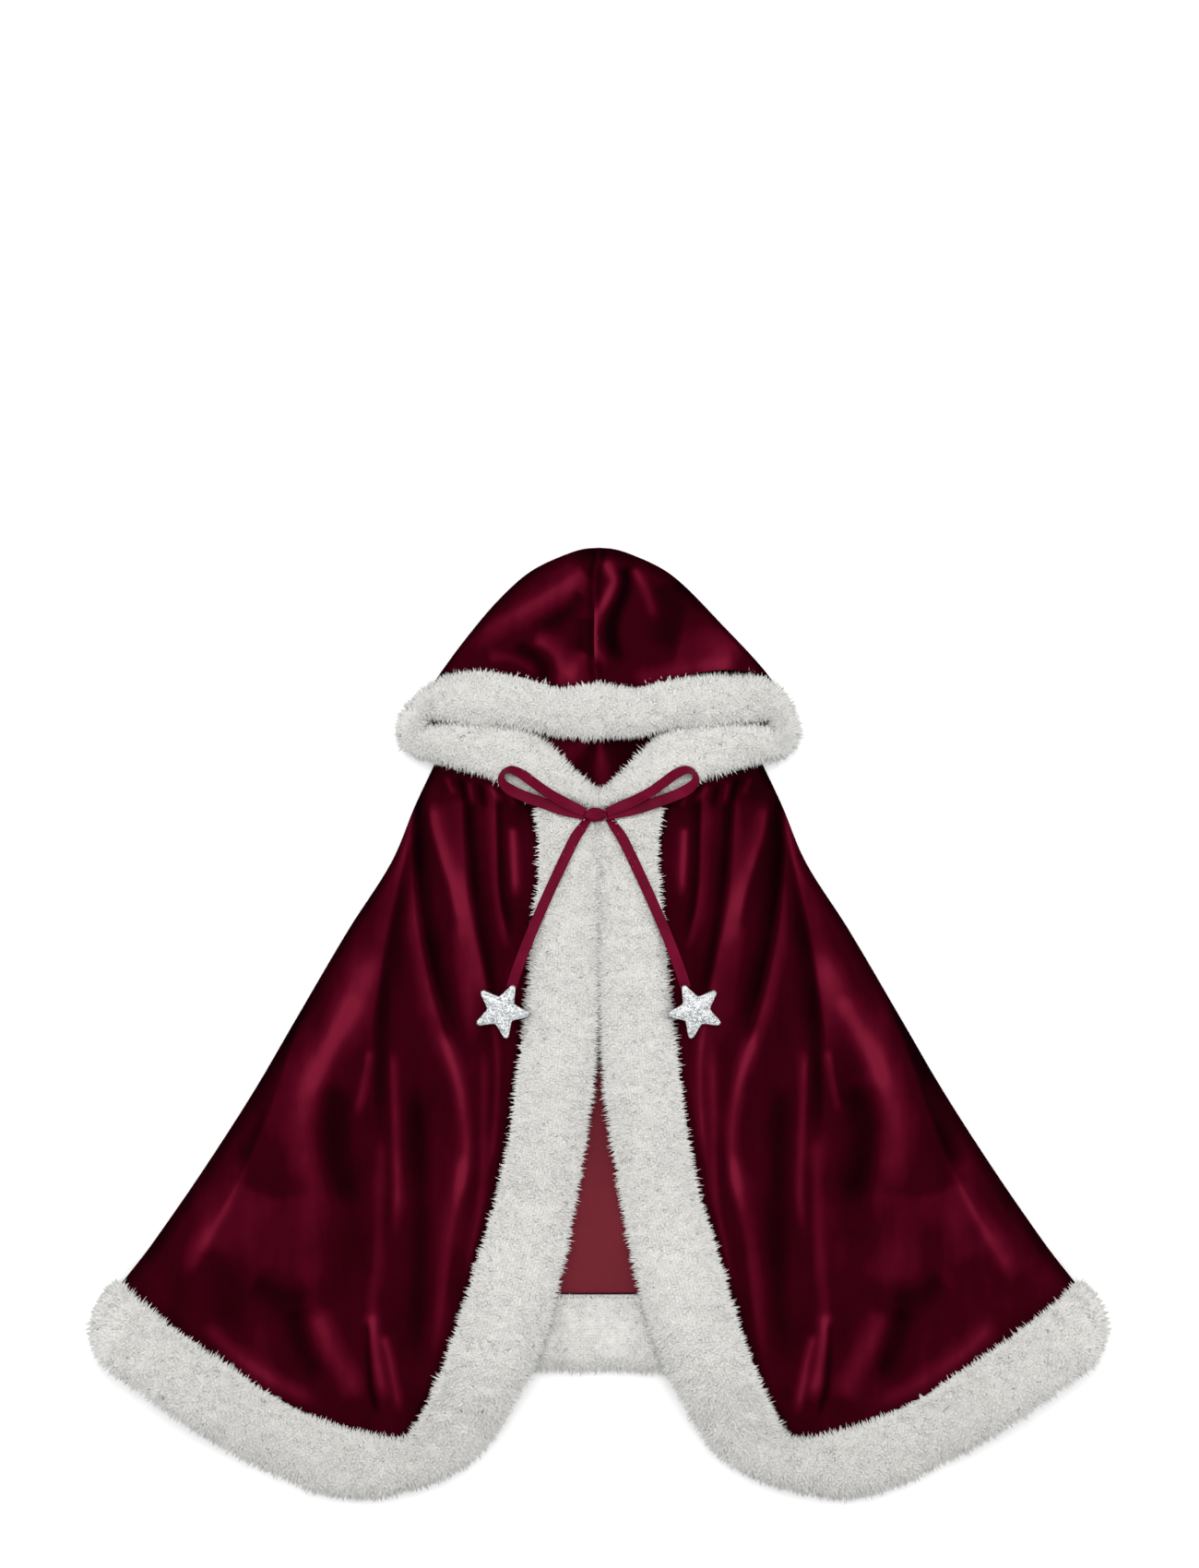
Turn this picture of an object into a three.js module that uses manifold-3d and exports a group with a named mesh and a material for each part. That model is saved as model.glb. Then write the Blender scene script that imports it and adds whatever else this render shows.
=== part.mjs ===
// A child's hooded cape of burgundy velvet with white fur bands, laid on its back with the fronts closed.
// Millimetres. +X to the viewer's right, +Y towards the hood, +Z up from the floor that the back lies on.
import * as THREE from "three";
import { mergeVertices } from "three/addons/utils/BufferGeometryUtils.js";
import Module from "manifold-3d";

const wasm = await Module();
wasm.setup();

// Driving dimensions.
const CAPE_WIDTH = 880; // over the hem fur from side to side
const CAPE_LENGTH = 638; // from the neck ends down to the lowest hem
const HOOD_LENGTH = 217; // from the nape line up to the crown
const HOOD_WIDTH = 278; // over the velvet of the hood
const FUR_WIDTH = 66; // each fur band, folded in half over the cloth's edge
const FUR_HALF = 10; // half the thickness of a band lying free
const NECK_FUR_HALF = 7.5; // the same where the ribbon ties the bands down
const BACK_FUR_HALF = 7; // the same where the back hem carries the fronts
const VELVET = 1.2;
const LINING = 0.8;
const GAP = 0.3; // between cloths that lie on each other
const LINING_HANG = 3; // how far a front's lining hangs under its velvet
const FOLD_GAP = 0.5; // between the two sides of a fold line
const FRONT_GAP = 2.4; // between the two front edges
const POCKET = 13.4; // the height of the front velvet's underside over the floor
const FUR_GAP = 0.5; // between a fur and what lies on it
const HEM_CLEAR = 0.6; // between the back hem's fur and a front's lining
const HEM_LIFT = 2 * BACK_FUR_HALF + HEM_CLEAR + LINING_HANG + LINING - POCKET; // how much more it rises over that fur
const OVER_HEM = 2 * BACK_FUR_HALF + FUR_GAP + FUR_HALF; // the middle height of a band that lies on that fur
const RIBBON_WIDTH = 9;
const RIBBON = 0.8;
const STAR_RADIUS = 26.3;
const STAR_NOTCH = 11.5;
const STAR_FACE = 0.8;
const STAR_PAD = 2.8;
const SEAM_GAP = 0.3; // between the two halves of the hood

// The outlines below were drawn for these sizes, and are stretched to the ones above.
const WIDE = CAPE_WIDTH / 880;
const COLLAR_LENGTH = 48; // from the neck ends down to the knot, which keeps its size
const LONG = (CAPE_LENGTH - COLLAR_LENGTH) / (638 - COLLAR_LENGTH);
const HOOD_LONG = HOOD_LENGTH / 215;
const HOOD_WIDE = HOOD_WIDTH / 278;
const NECK_Y = 226;
const NAPE_Y = 196;
const HOOD_FOLD_Y = 250;

// A point of the body, and one of the hood: the body stretches down from the knot, the hood up from the neck.
function body(x, y) {
  const knotY = NECK_Y - COLLAR_LENGTH;
  return new THREE.Vector2(x * WIDE, y > knotY ? y : knotY + (y - knotY) * LONG);
}

function hood(x, y) {
  return new THREE.Vector2(x * HOOD_WIDE, NAPE_Y + (y - NAPE_Y) * HOOD_LONG);
}

// The finished edge of the left front, from the neck down to the hem and round to the side, with the
// direction in which its fur band lies from there, in degrees, and the share of the band's width that
// shows, for it is tilted and rolled.
const EDGE = [
  [-1.2, 178, 168, 0.91],
  [-1.2, 150, 180, 0.76],
  [-1.2, 90, 180, 0.82],
  [-1.2, 40, 180, 0.89],
  [-2, -20, 173, 0.98],
  [-7, -70, 180, 1.0],
  [-20, -150, 175, 1.0],
  [-34, -222, 166, 1.09],
  [-50, -280, 164, 1.1],
  [-72, -325, 167, 1.03],
  [-98, -368, 160, 0.93],
  [-135, -395, 134, 0.7],
  [-190, -412, 90, 0.77],
  [-235, -410, 80, 0.88],
  [-290, -388, 70, 0.9],
  [-345, -355, 65, 0.92],
  [-398, -318, 63, 0.92],
  [-430, -293, 60.5, 0.92],
  [-440, -268, 58, 0.74],
  [-434, -246, 48, 0.4],
];
const CORNER = 11; // the place in EDGE where the front band ends and the hem band begins
const FRONT_ROWS = 22; // facets along the front band and the cloths sewn to it, so that they run together

function edgePoint([x, y]) {
  const p = body(x, y);
  return new THREE.Vector2(Math.min(p.x, -FRONT_GAP / 2), p.y);
}

function clothPoint(row, more = 0) {
  const turn = THREE.MathUtils.degToRad(row[2]);
  const reach = FUR_WIDTH * row[3] + more;
  return edgePoint(row).add(new THREE.Vector2(Math.cos(turn) * reach, Math.sin(turn) * reach));
}

const frontRows = EDGE.slice(0, CORNER + 1);
const hemRows = EDGE.slice(CORNER);
const sideOutline = [
  body(-143, 224), body(-160, 188), body(-180, 140), body(-218, 80), body(-265, 0),
  body(-300, -60), body(-345, -130), body(-390, -195), body(-411, -224),
];
const crownOutline = [
  hood(-139, 294), hood(-130, 308), hood(-110, 338), hood(-90, 363), hood(-60, 390),
  hood(-30, 405), hood(-SEAM_GAP / 2, 411),
];
const lipTop = [
  hood(-163, 276), hood(-150, 288), hood(-137, 297), hood(-125, 301), hood(-98, 304),
  hood(-60, 297), hood(-32, 290), hood(-SEAM_GAP / 2, 294),
];
const lipBottom = [
  hood(-168, 263), hood(-148, 262), hood(-125, 262), hood(-105, 262), hood(-80, 260.5),
  hood(-52, 254), hood(-30, 248), hood(-SEAM_GAP / 2, 246.5),
];
const mouthEdge = [
  hood(-173, 254), hood(-148, 257), hood(-110, 258), hood(-80, 257), hood(-55, 251),
  hood(-45, 243), hood(-35, 233), hood(-25, 221), hood(-15, 211), hood(-3, 204),
];
const collarEdge = [
  hood(-171, 243), hood(-160, 233), hood(-140, 226.5), hood(-117, 219), hood(-90, 211),
  hood(-66, 197), hood(-48, 192), hood(-30, 189), hood(-14, 186), hood(-3, 184),
];

// ---------- ways of making a solid ----------

function smooth(t) {
  const s = THREE.MathUtils.clamp(t, 0, 1);
  return s * s * (3 - 2 * s);
}

function curve(points) {
  const line = new THREE.CatmullRomCurve3(points.map((p) => new THREE.Vector3(p.x, p.y, 0)), false, "centripetal");
  return (t) => line.getPoint(t);
}

function straight(a, b) {
  return (t) => new THREE.Vector3().lerpVectors(a, b, t);
}

// The patch between four edges: left and right run with v, near and far with u.
function patch(left, right, near, far) {
  const [p, q, r, s] = [left(0), right(0), left(1), right(1)];
  return (u, v) => {
    const across = left(v).multiplyScalar(1 - u).addScaledVector(right(v), u);
    const along = near(u).multiplyScalar(1 - v).addScaledVector(far(u), v);
    const corners = new THREE.Vector3()
      .addScaledVector(p, (1 - u) * (1 - v))
      .addScaledVector(q, u * (1 - v))
      .addScaledVector(r, (1 - u) * v)
      .addScaledVector(s, u * v);
    return across.add(along).sub(corners);
  };
}

function between(left, right) {
  return patch(left, right, straight(left(0), right(0)), straight(left(1), right(1)));
}

function tidy(geometry) {
  const g = geometry.index ? geometry.toNonIndexed() : geometry.clone();
  g.deleteAttribute("normal");
  g.deleteAttribute("uv");
  return mergeVertices(g, 1e-4);
}

function volume(geometry) {
  const p = geometry.attributes.position;
  const [a, b, c] = [new THREE.Vector3(), new THREE.Vector3(), new THREE.Vector3()];
  let sum = 0;
  for (let i = 0; i < geometry.index.count; i += 3) {
    a.fromBufferAttribute(p, geometry.index.getX(i));
    b.fromBufferAttribute(p, geometry.index.getX(i + 1));
    c.fromBufferAttribute(p, geometry.index.getX(i + 2));
    sum += a.dot(b.cross(c));
  }
  return sum / 6;
}

function turnedOut(geometry) {
  if (volume(geometry) > 0) return geometry;
  const index = geometry.index;
  for (let i = 0; i < index.count; i += 3) {
    const first = index.getX(i);
    index.setX(i, index.getX(i + 1));
    index.setX(i + 1, first);
  }
  return geometry;
}

// A cloth or a fur band: a box bent over the plan that place(u, v) gives, between the heights low and high.
function slab(place, low, high, nu, nv) {
  const g = tidy(new THREE.BoxGeometry(1, 1, 1, nu, nv, 1));
  const p = g.attributes.position;
  for (let i = 0; i < p.count; i++) {
    const [u, v] = [p.getX(i) + 0.5, p.getY(i) + 0.5];
    const at = place(u, v);
    const height = p.getZ(i) < 0 ? low(u, v, at) : high(u, v, at);
    p.setXYZ(i, at.x, at.y, height);
  }
  return turnedOut(g);
}

// A fur band: rounded across, with its middle at the height mid(v).
function band(place, mid, half, nu, nv) {
  const round = (u) => Math.sqrt(1 - (2 * u - 1) ** 2 * 0.92);
  return slab(
    place,
    (u, v, at) => mid(v, at) - half(v, at) * round(u),
    (u, v, at) => mid(v, at) + half(v, at) * round(u),
    nu,
    nv,
  );
}

function solid(geometry) {
  const g = tidy(geometry);
  return new wasm.Manifold(
    new wasm.Mesh({
      numProp: 3,
      vertProperties: new Float32Array(g.attributes.position.array),
      triVerts: new Uint32Array(g.index.array),
    }),
  );
}

function geometryOf(made) {
  const mesh = made.getMesh();
  const places = new Float32Array(mesh.numVert * 3);
  for (let i = 0; i < mesh.numVert; i++)
    places.set(mesh.vertProperties.subarray(i * mesh.numProp, i * mesh.numProp + 3), i * 3);
  return new THREE.BufferGeometry()
    .setAttribute("position", new THREE.BufferAttribute(places, 3))
    .setIndex(new THREE.BufferAttribute(mesh.triVerts, 1));
}

function joined(...geometries) {
  return geometryOf(geometries.map(solid).reduce((a, b) => a.add(b)));
}

// ---------- the fold line of a front ----------

const FOLD_TOP = new THREE.Vector2(-FRONT_GAP / 2, body(0, 163).y);
const FOLD_FOOT = body(-361, -220);
const COLLAR_Y = body(0, 150).y;

// The room that a front takes when it folds: the inner side of its fold line, below the collar.
function frontRoom(grow) {
  const run = FOLD_FOOT.clone().sub(FOLD_TOP);
  const reach = 2000;
  const side = new THREE.BoxGeometry(reach, reach, 400);
  side.translate(0, reach / 2 - grow, 0);
  side.rotateZ(Math.atan2(run.y, run.x));
  side.translate(FOLD_TOP.x, FOLD_TOP.y, 0);
  const below = new THREE.BoxGeometry(reach, reach, 400);
  below.translate(0, COLLAR_Y + grow - reach / 2, 0);
  return solid(side).intersect(solid(below));
}

const movingRoom = frontRoom(-FOLD_GAP / 2);
const keptRoom = frontRoom(FOLD_GAP / 2);

function movingPart(geometry) {
  return geometryOf(solid(geometry).intersect(movingRoom));
}

function fixedPart(geometry) {
  return geometryOf(solid(geometry).subtract(keptRoom));
}

// ---------- the body of the cape ----------

const backHemTop = [
  body(-413, -228), body(-380, -233), body(-200, -237), body(0, -239), body(200, -237), body(380, -233),
  body(413, -228),
];
const neckline = [body(-143, 224), body(-75, 206), body(0, 196), body(75, 206), body(143, 224)];

function mirrored(points) {
  return points.map((p) => new THREE.Vector2(-p.x, p.y));
}

function shrunk(place, u0, u1, v0, v1) {
  return (u, v) => place(u0 + (u1 - u0) * u, v0 + (v1 - v0) * v);
}

const backPlan = patch(
  curve(sideOutline),
  curve(mirrored(sideOutline)),
  curve(neckline),
  curve([body(-411, -224), body(-380, -232.4), body(-200, -236.4), body(0, -238.4), body(200, -236.4),
    body(380, -232.4), body(411, -224)]),
);

function backVelvet() {
  return slab(backPlan, () => 0, () => VELVET, 12, 8);
}

function backLining() {
  const low = VELVET + GAP;
  return slab(shrunk(backPlan, 0.04, 0.96, 0.03, 0.995), () => low, () => low + LINING, 12, 8);
}

function backFur() {
  const foot = curve([body(-432, -292), body(-400, -299), body(-200, -303), body(0, -303), body(200, -303),
    body(400, -299), body(432, -292)]);
  return band(between(curve(backHemTop), foot), () => BACK_FUR_HALF, () => BACK_FUR_HALF, 4, 20);
}

// The height of a front's cloth: low where it turns round the side, up over the back hem's fur, and
// down again to the floor at the front corner.
function frontLevel(u, at) {
  const overHem = smooth((body(0, -200).y - at.y) / 30);
  const atCorner = smooth((body(0, -312).y - at.y) / 45);
  const full = POCKET + HEM_LIFT * overHem - (HEM_LIFT + 6) * atCorner;
  const start = VELVET + GAP + 2 * BACK_FUR_HALF * smooth((body(0, -198).y - at.y) / 26);
  return start + (full - start) * smooth(u / 0.12);
}

const clothEdge = frontRows.map((row) => clothPoint(row, 0.5));
const clothHem = hemRows.slice(0, 8).map((row) => clothPoint(row, 0.5)).reverse();
const frontPlan = patch(
  curve([...sideOutline.slice(0, -1), clothHem[0]]),
  curve(clothEdge),
  curve([body(-143, 224), body(-118, 216), body(-90, 207), clothEdge[0]]),
  curve(clothHem),
);

function frontVelvet() {
  return slab(
    frontPlan,
    (u, v, at) => frontLevel(u, at),
    (u, v, at) => frontLevel(u, at) + VELVET,
    12,
    FRONT_ROWS,
  );
}

function frontLining() {
  const plan = shrunk(frontPlan, 0.09, 0.99, 0.012, 0.988);
  const under = (u, at) => frontLevel(0.09 + 0.9 * u, at) - LINING_HANG;
  return slab(plan, (u, v, at) => under(u, at) - LINING, (u, v, at) => under(u, at), 10, FRONT_ROWS);
}

const FREE_MID = 13; // the middle height of the front band where it lies on the back
const RIBBON_FOOT_Y = 40; // the ribbon's ends reach down to here, and press the band down above it

// The middle height of the front band: thin at the tie, lying on the back, over the hem and down.
function frontFurMid(v, at) {
  const over = smooth((body(0, -150).y - at.y) / 100);
  const down = smooth((body(0, -300).y - at.y) / 75);
  return FREE_MID + (OVER_HEM - FREE_MID) * over - 14 * down;
}

function frontFurHalf(v, at) {
  const tied = smooth((at.y - RIBBON_FOOT_Y) / 90);
  return FUR_HALF + (NECK_FUR_HALF - FUR_HALF) * tied;
}

function frontFur() {
  const plan = between(curve(frontRows.map(edgePoint)), curve(frontRows.map((row) => clothPoint(row))));
  return band(shrunk(plan, 0, 1, 0, 0.995), frontFurMid, frontFurHalf, 4, FRONT_ROWS);
}

const HEM_MID = 10.5; // the middle height of the front hem's band where it lies on the floor

function hemFurMid(v, at) {
  return HEM_MID + (OVER_HEM - HEM_MID) * smooth((body(-270, 0).x - at.x) / (85 * WIDE));
}

function hemFurHalf(v, at) {
  return FUR_HALF - 2 * smooth((body(-270, 0).x - at.x) / (85 * WIDE));
}

function hemFur() {
  const plan = between(curve(hemRows.map(edgePoint)), curve(hemRows.map((row) => clothPoint(row))));
  return band(shrunk(plan, 0, 1, 0.005, 1), hemFurMid, hemFurHalf, 4, 18);
}

// The fur's turn round the side, which joins the back hem's band to the front's.
function sideTurn() {
  const rows = EDGE.slice(-3);
  const outer = curve(rows.map(edgePoint));
  const inner = curve(rows.map((row) => edgePoint(row).lerp(clothPoint(row), 0.35)));
  return slab(between(outer, inner), () => BACK_FUR_HALF, () => OVER_HEM, 2, 4);
}

function mirror(geometry) {
  const g = geometry.clone();
  g.scale(-1, 1, 1);
  return turnedOut(g);
}

function wholeHemFur() {
  const left = joined(fixedPart(hemFur()), fixedPart(sideTurn()));
  return joined(backFur(), left, mirror(left));
}

function neckBinding() {
  const low = VELVET + LINING + 2 * GAP;
  const near = curve([body(-112, 212), body(-75, 203), body(0, 193), body(75, 203), body(112, 212)]);
  const far = curve([body(-112, 220), body(-75, 211), body(0, 201), body(75, 211), body(112, 220)]);
  return slab(between(near, far), () => low, () => low + LINING, 1, 16);
}

// ---------- the hood ----------

const foldLine = (y) => straight(
  new THREE.Vector3(-139 * HOOD_WIDE, y, 0),
  new THREE.Vector3(139 * HOOD_WIDE, y, 0),
);
const HOOD_FOLD = hood(0, HOOD_FOLD_Y).y;

function napeCloth(low, thick, inset) {
  const near = curve([hood(-139, 226), hood(-75, 206.6), hood(0, 196.6), hood(75, 206.6), hood(139, 226)]);
  const plan = shrunk(between(near, foldLine(HOOD_FOLD - FOLD_GAP / 2)), inset, 1 - inset, 0.01, 1);
  return slab(plan, () => low, () => low + thick, 1, 12);
}

function flatPlan(edge) {
  const last = edge.length - 1;
  const base = straight(
    new THREE.Vector3(edge[0].x, HOOD_FOLD + FOLD_GAP / 2, 0),
    new THREE.Vector3(edge[last].x, HOOD_FOLD + FOLD_GAP / 2, 0),
  );
  return between(curve(edge), base);
}

// The height of the crown's upper cloth at a distance from its rounded rim.
function crownHeight(distance) {
  const q = THREE.MathUtils.clamp(distance / 45, 0, 1);
  return 21 * Math.sqrt(1 - (1 - q) ** 2);
}

// Half the hood: its back on the floor and its top over it, joined along the rim.
function hoodHalf(inset, low, thick, drop) {
  const rim = crownOutline.map((p, i, all) => {
    const centre = hood(-SEAM_GAP / 2, 300);
    const away = p.clone().sub(centre).normalize().multiplyScalar(inset);
    return i === all.length - 1 ? new THREE.Vector2(p.x, p.y - inset) : p.clone().sub(away);
  });
  const lip = lipTop.slice(2).map((p) => new THREE.Vector2(p.x, p.y + 1.2));
  lip[0] = new THREE.Vector2(rim[0].x + 3, rim[0].y + 1);
  lip[1] = new THREE.Vector2(lip[1].x, lip[1].y + inset / 3);
  const top = between(curve(rim), curve(lip));
  const level = (u, v) => {
    const length = top(0, v).distanceTo(top(1, v));
    return crownHeight(u * length);
  };
  const base = slab(flatPlan(rim), () => low, () => low + thick, 2, 12);
  const upper = slab(
    top,
    (u, v) => low + 0.1 + Math.max(level(u, v) - drop, 0),
    (u, v) => low + thick + 0.6 + Math.max(level(u, v) - drop, 0),
    8,
    12,
  );
  return joined(base, upper);
}

function upperLip() {
  const plan = between(curve(lipBottom), curve(lipTop));
  return band(plan, () => 17.2, () => 9.8, 4, 12);
}

function lowerLip() {
  const plan = between(curve(collarEdge), curve(mouthEdge));
  return band(plan, () => 13.6, () => 9.8, 4, 14);
}

// ---------- the tie ----------

const KNOT = new THREE.Vector3(-2.5, 180, 25.3);
const KNOT_SIZE = new THREE.Vector3(10.5, 6.5, 4.8);

function knotBody() {
  const g = new THREE.SphereGeometry(1, 16, 10);
  g.scale(KNOT_SIZE.x, KNOT_SIZE.y, KNOT_SIZE.z);
  return tidy(g);
}

// A flat ribbon laid along points [x, y, z of its underside].
function ribbon(points, steps) {
  const path = new THREE.CatmullRomCurve3(points.map((p) => new THREE.Vector3(...p)), false, "centripetal");
  const place = (u, v) => {
    const at = path.getPoint(v);
    const way = path.getTangent(v);
    const side = new THREE.Vector3(-way.y, way.x, 0).normalize();
    return at.addScaledVector(side, (u - 0.5) * RIBBON_WIDTH);
  };
  const height = (v) => path.getPoint(v).z;
  return slab(place, (u, v) => height(v), (u, v) => height(v) + RIBBON, 1, steps);
}

// Each end of the ribbon runs from the knot over the collar and down the front, to its star.
const RIBBON_END = [
  [-9, 177.3, 20.9], [-14, 170, 20.9], [-20, 161, 20.9], [-28, 145, 20.9], [-36, 128, 21.0],
  [-47, 104, 22.0], [-59, 76, 23.0], [-67.5, 54, 23.3], [-72.5, 40, 22.8], [-75.5, 30, 22.5],
];
const STAR_PLACE = new THREE.Vector2(-84, 10.5);
const STAR_LOW = 23.6;
const STAR_TURN = -26; // degrees that its first tip leans from straight up, towards the ribbon

function starShape(shrink) {
  const shape = new THREE.Shape();
  const points = [];
  for (let i = 0; i < 10; i++) {
    const radius = (i % 2 ? STAR_NOTCH : STAR_RADIUS) - shrink;
    const turn = THREE.MathUtils.degToRad(90 + STAR_TURN + 36 * i);
    points.push(new THREE.Vector2(Math.cos(turn) * radius, Math.sin(turn) * radius));
  }
  const blunt = (tip, from) => tip.clone().lerp(from, 0.22);
  points.forEach((p, i) => {
    if (i % 2) {
      shape.lineTo(p.x, p.y);
      return;
    }
    const before = blunt(p, points[(i + 9) % 10]);
    const after = blunt(p, points[(i + 1) % 10]);
    if (i) shape.lineTo(before.x, before.y);
    else shape.moveTo(before.x, before.y);
    shape.quadraticCurveTo(p.x, p.y, after.x, after.y);
  });
  shape.closePath();
  return shape;
}

function starLayer(shrink, thick) {
  return tidy(new THREE.ExtrudeGeometry(starShape(shrink), { depth: thick, bevelEnabled: false, curveSegments: 3 }));
}

// One loop of the bow: the ribbon's ring, lying nearly flat, with the gap between its two strands.
const LOOP_HEIGHT = 24.7;
const LOOP_THICK = 1.6;

function loopBody(root) {
  const shape = new THREE.Shape();
  shape.moveTo(root, 186);
  shape.splineThru([
    new THREE.Vector2(-30, 197), new THREE.Vector2(-52, 212), new THREE.Vector2(-70, 222),
    new THREE.Vector2(-80, 223), new THREE.Vector2(-86, 213), new THREE.Vector2(-80, 202),
    new THREE.Vector2(-55, 190), new THREE.Vector2(-32, 182), new THREE.Vector2(root, 176),
  ]);
  shape.closePath();
  const hole = new THREE.Path();
  hole.moveTo(-44, 197);
  hole.splineThru([
    new THREE.Vector2(-58, 206), new THREE.Vector2(-72, 214), new THREE.Vector2(-78, 212),
    new THREE.Vector2(-70, 204), new THREE.Vector2(-56, 197), new THREE.Vector2(-44, 197),
  ]);
  shape.holes.push(hole);
  return tidy(new THREE.ExtrudeGeometry(shape, { depth: LOOP_THICK, bevelEnabled: false, curveSegments: 14 }));
}

// ---------- the assembly ----------

const velvetCloth = new THREE.MeshStandardMaterial({ color: 0x4a0f1c, roughness: 0.5, metalness: 0 });
const liningCloth = new THREE.MeshStandardMaterial({ color: 0x752a32, roughness: 0.75, metalness: 0 });
const whiteFur = new THREE.MeshStandardMaterial({ color: 0xe2e1dc, roughness: 0.95, metalness: 0 });
const satin = new THREE.MeshStandardMaterial({ color: 0x7d233c, roughness: 0.35, metalness: 0 });
const glitter = new THREE.MeshStandardMaterial({ color: 0xb9b9bd, roughness: 0.4, metalness: 0.8 });
const wadding = new THREE.MeshStandardMaterial({ color: 0xf0f0ee, roughness: 1, metalness: 0 });

const cape = new THREE.Group();

function add(name, geometry, material, place) {
  const mesh = new THREE.Mesh(geometry, material);
  mesh.name = name;
  if (place) mesh.position.copy(place);
  cape.add(mesh);
}

// The same piece on the left and, mirrored, on the right.
function pair(name, geometry, material, place) {
  add("left_" + name, geometry, material, place);
  const across = place && new THREE.Vector3(-place.x, place.y, place.z);
  add("right_" + name, mirror(geometry), material, across);
}

add("back_velvet", backVelvet(), velvetCloth);
add("back_lining", backLining(), liningCloth);
add("hem_fur", wholeHemFur(), whiteFur);
add("neck_binding", neckBinding(), liningCloth);
add("nape_velvet", napeCloth(0, VELVET, 0), velvetCloth);
add("nape_lining", napeCloth(VELVET + GAP, LINING, 0.03), liningCloth);
add("knot", knotBody(), satin, KNOT);

pair("yoke_velvet", fixedPart(frontVelvet()), velvetCloth);
pair("yoke_lining", fixedPart(frontLining()), liningCloth);
pair("collar_fur", fixedPart(frontFur()), whiteFur);
pair("lower_lip_fur", lowerLip(), whiteFur);
pair("tie", fixedPart(ribbon(RIBBON_END, 22)), satin);

pair("front_velvet", movingPart(frontVelvet()), velvetCloth);
pair("front_lining", movingPart(frontLining()), liningCloth);
pair("front_fur", movingPart(frontFur()), whiteFur);
pair("front_hem_fur", movingPart(hemFur()), whiteFur);
pair("tail", movingPart(ribbon(RIBBON_END, 22)), satin);

const starFoot = new THREE.Vector3(STAR_PLACE.x, STAR_PLACE.y, STAR_LOW);
const padFoot = starFoot.clone().setZ(STAR_LOW + STAR_FACE + GAP);
const faceFoot = padFoot.clone().setZ(padFoot.z + STAR_PAD + GAP);
pair("star_back", starLayer(0, STAR_FACE), glitter, starFoot);
pair("star_padding", starLayer(1.5, STAR_PAD), wadding, padFoot);
pair("star_front", starLayer(0, STAR_FACE), glitter, faceFoot);

const loopFoot = new THREE.Vector3(0, 0, LOOP_HEIGHT);
add("left_loop", loopBody(KNOT.x - KNOT_SIZE.x - GAP), satin, loopFoot);
add("right_loop", mirror(loopBody(-KNOT.x - KNOT_SIZE.x - GAP)), satin, loopFoot);

pair("hood_velvet", hoodHalf(0, 0, VELVET, 0), velvetCloth);
pair("hood_lining", hoodHalf(6, VELVET + GAP, LINING, 4.2), liningCloth);
pair("upper_lip_fur", upperLip(), whiteFur);

export default cape;
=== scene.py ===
import math

import bmesh
import bpy
import numpy as np
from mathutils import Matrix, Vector, noise


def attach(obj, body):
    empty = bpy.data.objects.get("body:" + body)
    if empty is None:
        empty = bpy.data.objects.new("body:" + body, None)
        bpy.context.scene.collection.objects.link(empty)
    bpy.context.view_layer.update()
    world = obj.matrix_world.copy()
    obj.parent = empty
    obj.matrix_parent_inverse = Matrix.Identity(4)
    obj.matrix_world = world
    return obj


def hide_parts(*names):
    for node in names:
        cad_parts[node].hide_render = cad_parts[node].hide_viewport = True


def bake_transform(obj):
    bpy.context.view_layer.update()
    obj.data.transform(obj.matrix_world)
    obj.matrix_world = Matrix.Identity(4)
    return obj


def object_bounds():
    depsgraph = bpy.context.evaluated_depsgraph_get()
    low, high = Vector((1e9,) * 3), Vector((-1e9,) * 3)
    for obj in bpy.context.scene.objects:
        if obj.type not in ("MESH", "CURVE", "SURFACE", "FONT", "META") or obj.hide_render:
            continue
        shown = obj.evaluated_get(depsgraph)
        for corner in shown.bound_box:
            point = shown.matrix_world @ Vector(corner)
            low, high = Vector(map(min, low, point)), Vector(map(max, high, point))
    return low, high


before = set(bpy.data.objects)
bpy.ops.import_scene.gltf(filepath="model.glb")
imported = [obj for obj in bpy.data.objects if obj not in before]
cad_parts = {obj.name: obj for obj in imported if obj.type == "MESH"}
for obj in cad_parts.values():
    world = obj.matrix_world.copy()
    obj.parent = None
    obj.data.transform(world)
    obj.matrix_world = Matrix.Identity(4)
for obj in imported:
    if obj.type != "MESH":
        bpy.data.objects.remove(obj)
cad_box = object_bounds()

# ---------- Studio ----------
# The cape lies on its back on a plain pale floor, and the camera hangs straight over it. A bright, even sky
# and three broad lamps make the soft light; the side lamps rake across the velvet.
MM = 0.001
VIEW_HEIGHT = 1.36
CROWN_TO_MIDDLE = 0.2062
VIEW_MIDDLE = Vector((0.0008, cad_box[1][1] - CROWN_TO_MIDDLE, 0.0))
CAMERA_HEIGHT = 3.2
SENSOR = 36.0
FLOOR_HALF = 6
FLOOR_LEVEL = -0.0008

camera_data = bpy.data.cameras.new("camera")
camera_data.sensor_width = SENSOR
camera_data.lens = SENSOR * CAMERA_HEIGHT / VIEW_HEIGHT
camera = bpy.data.objects.new("camera", camera_data)
camera.location = VIEW_MIDDLE + Vector((0, 0, CAMERA_HEIGHT + 0.02))
bpy.context.scene.collection.objects.link(camera)
bpy.context.scene.camera = camera
bpy.context.scene.view_settings.view_transform = "Standard"

world = bpy.data.worlds.new("sky")
world.use_nodes = True
world.node_tree.nodes["Background"].inputs["Color"].default_value = (1.0, 1.0, 1.0, 1.0)
world.node_tree.nodes["Background"].inputs["Strength"].default_value = 0.84
bpy.context.scene.world = world


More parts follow.
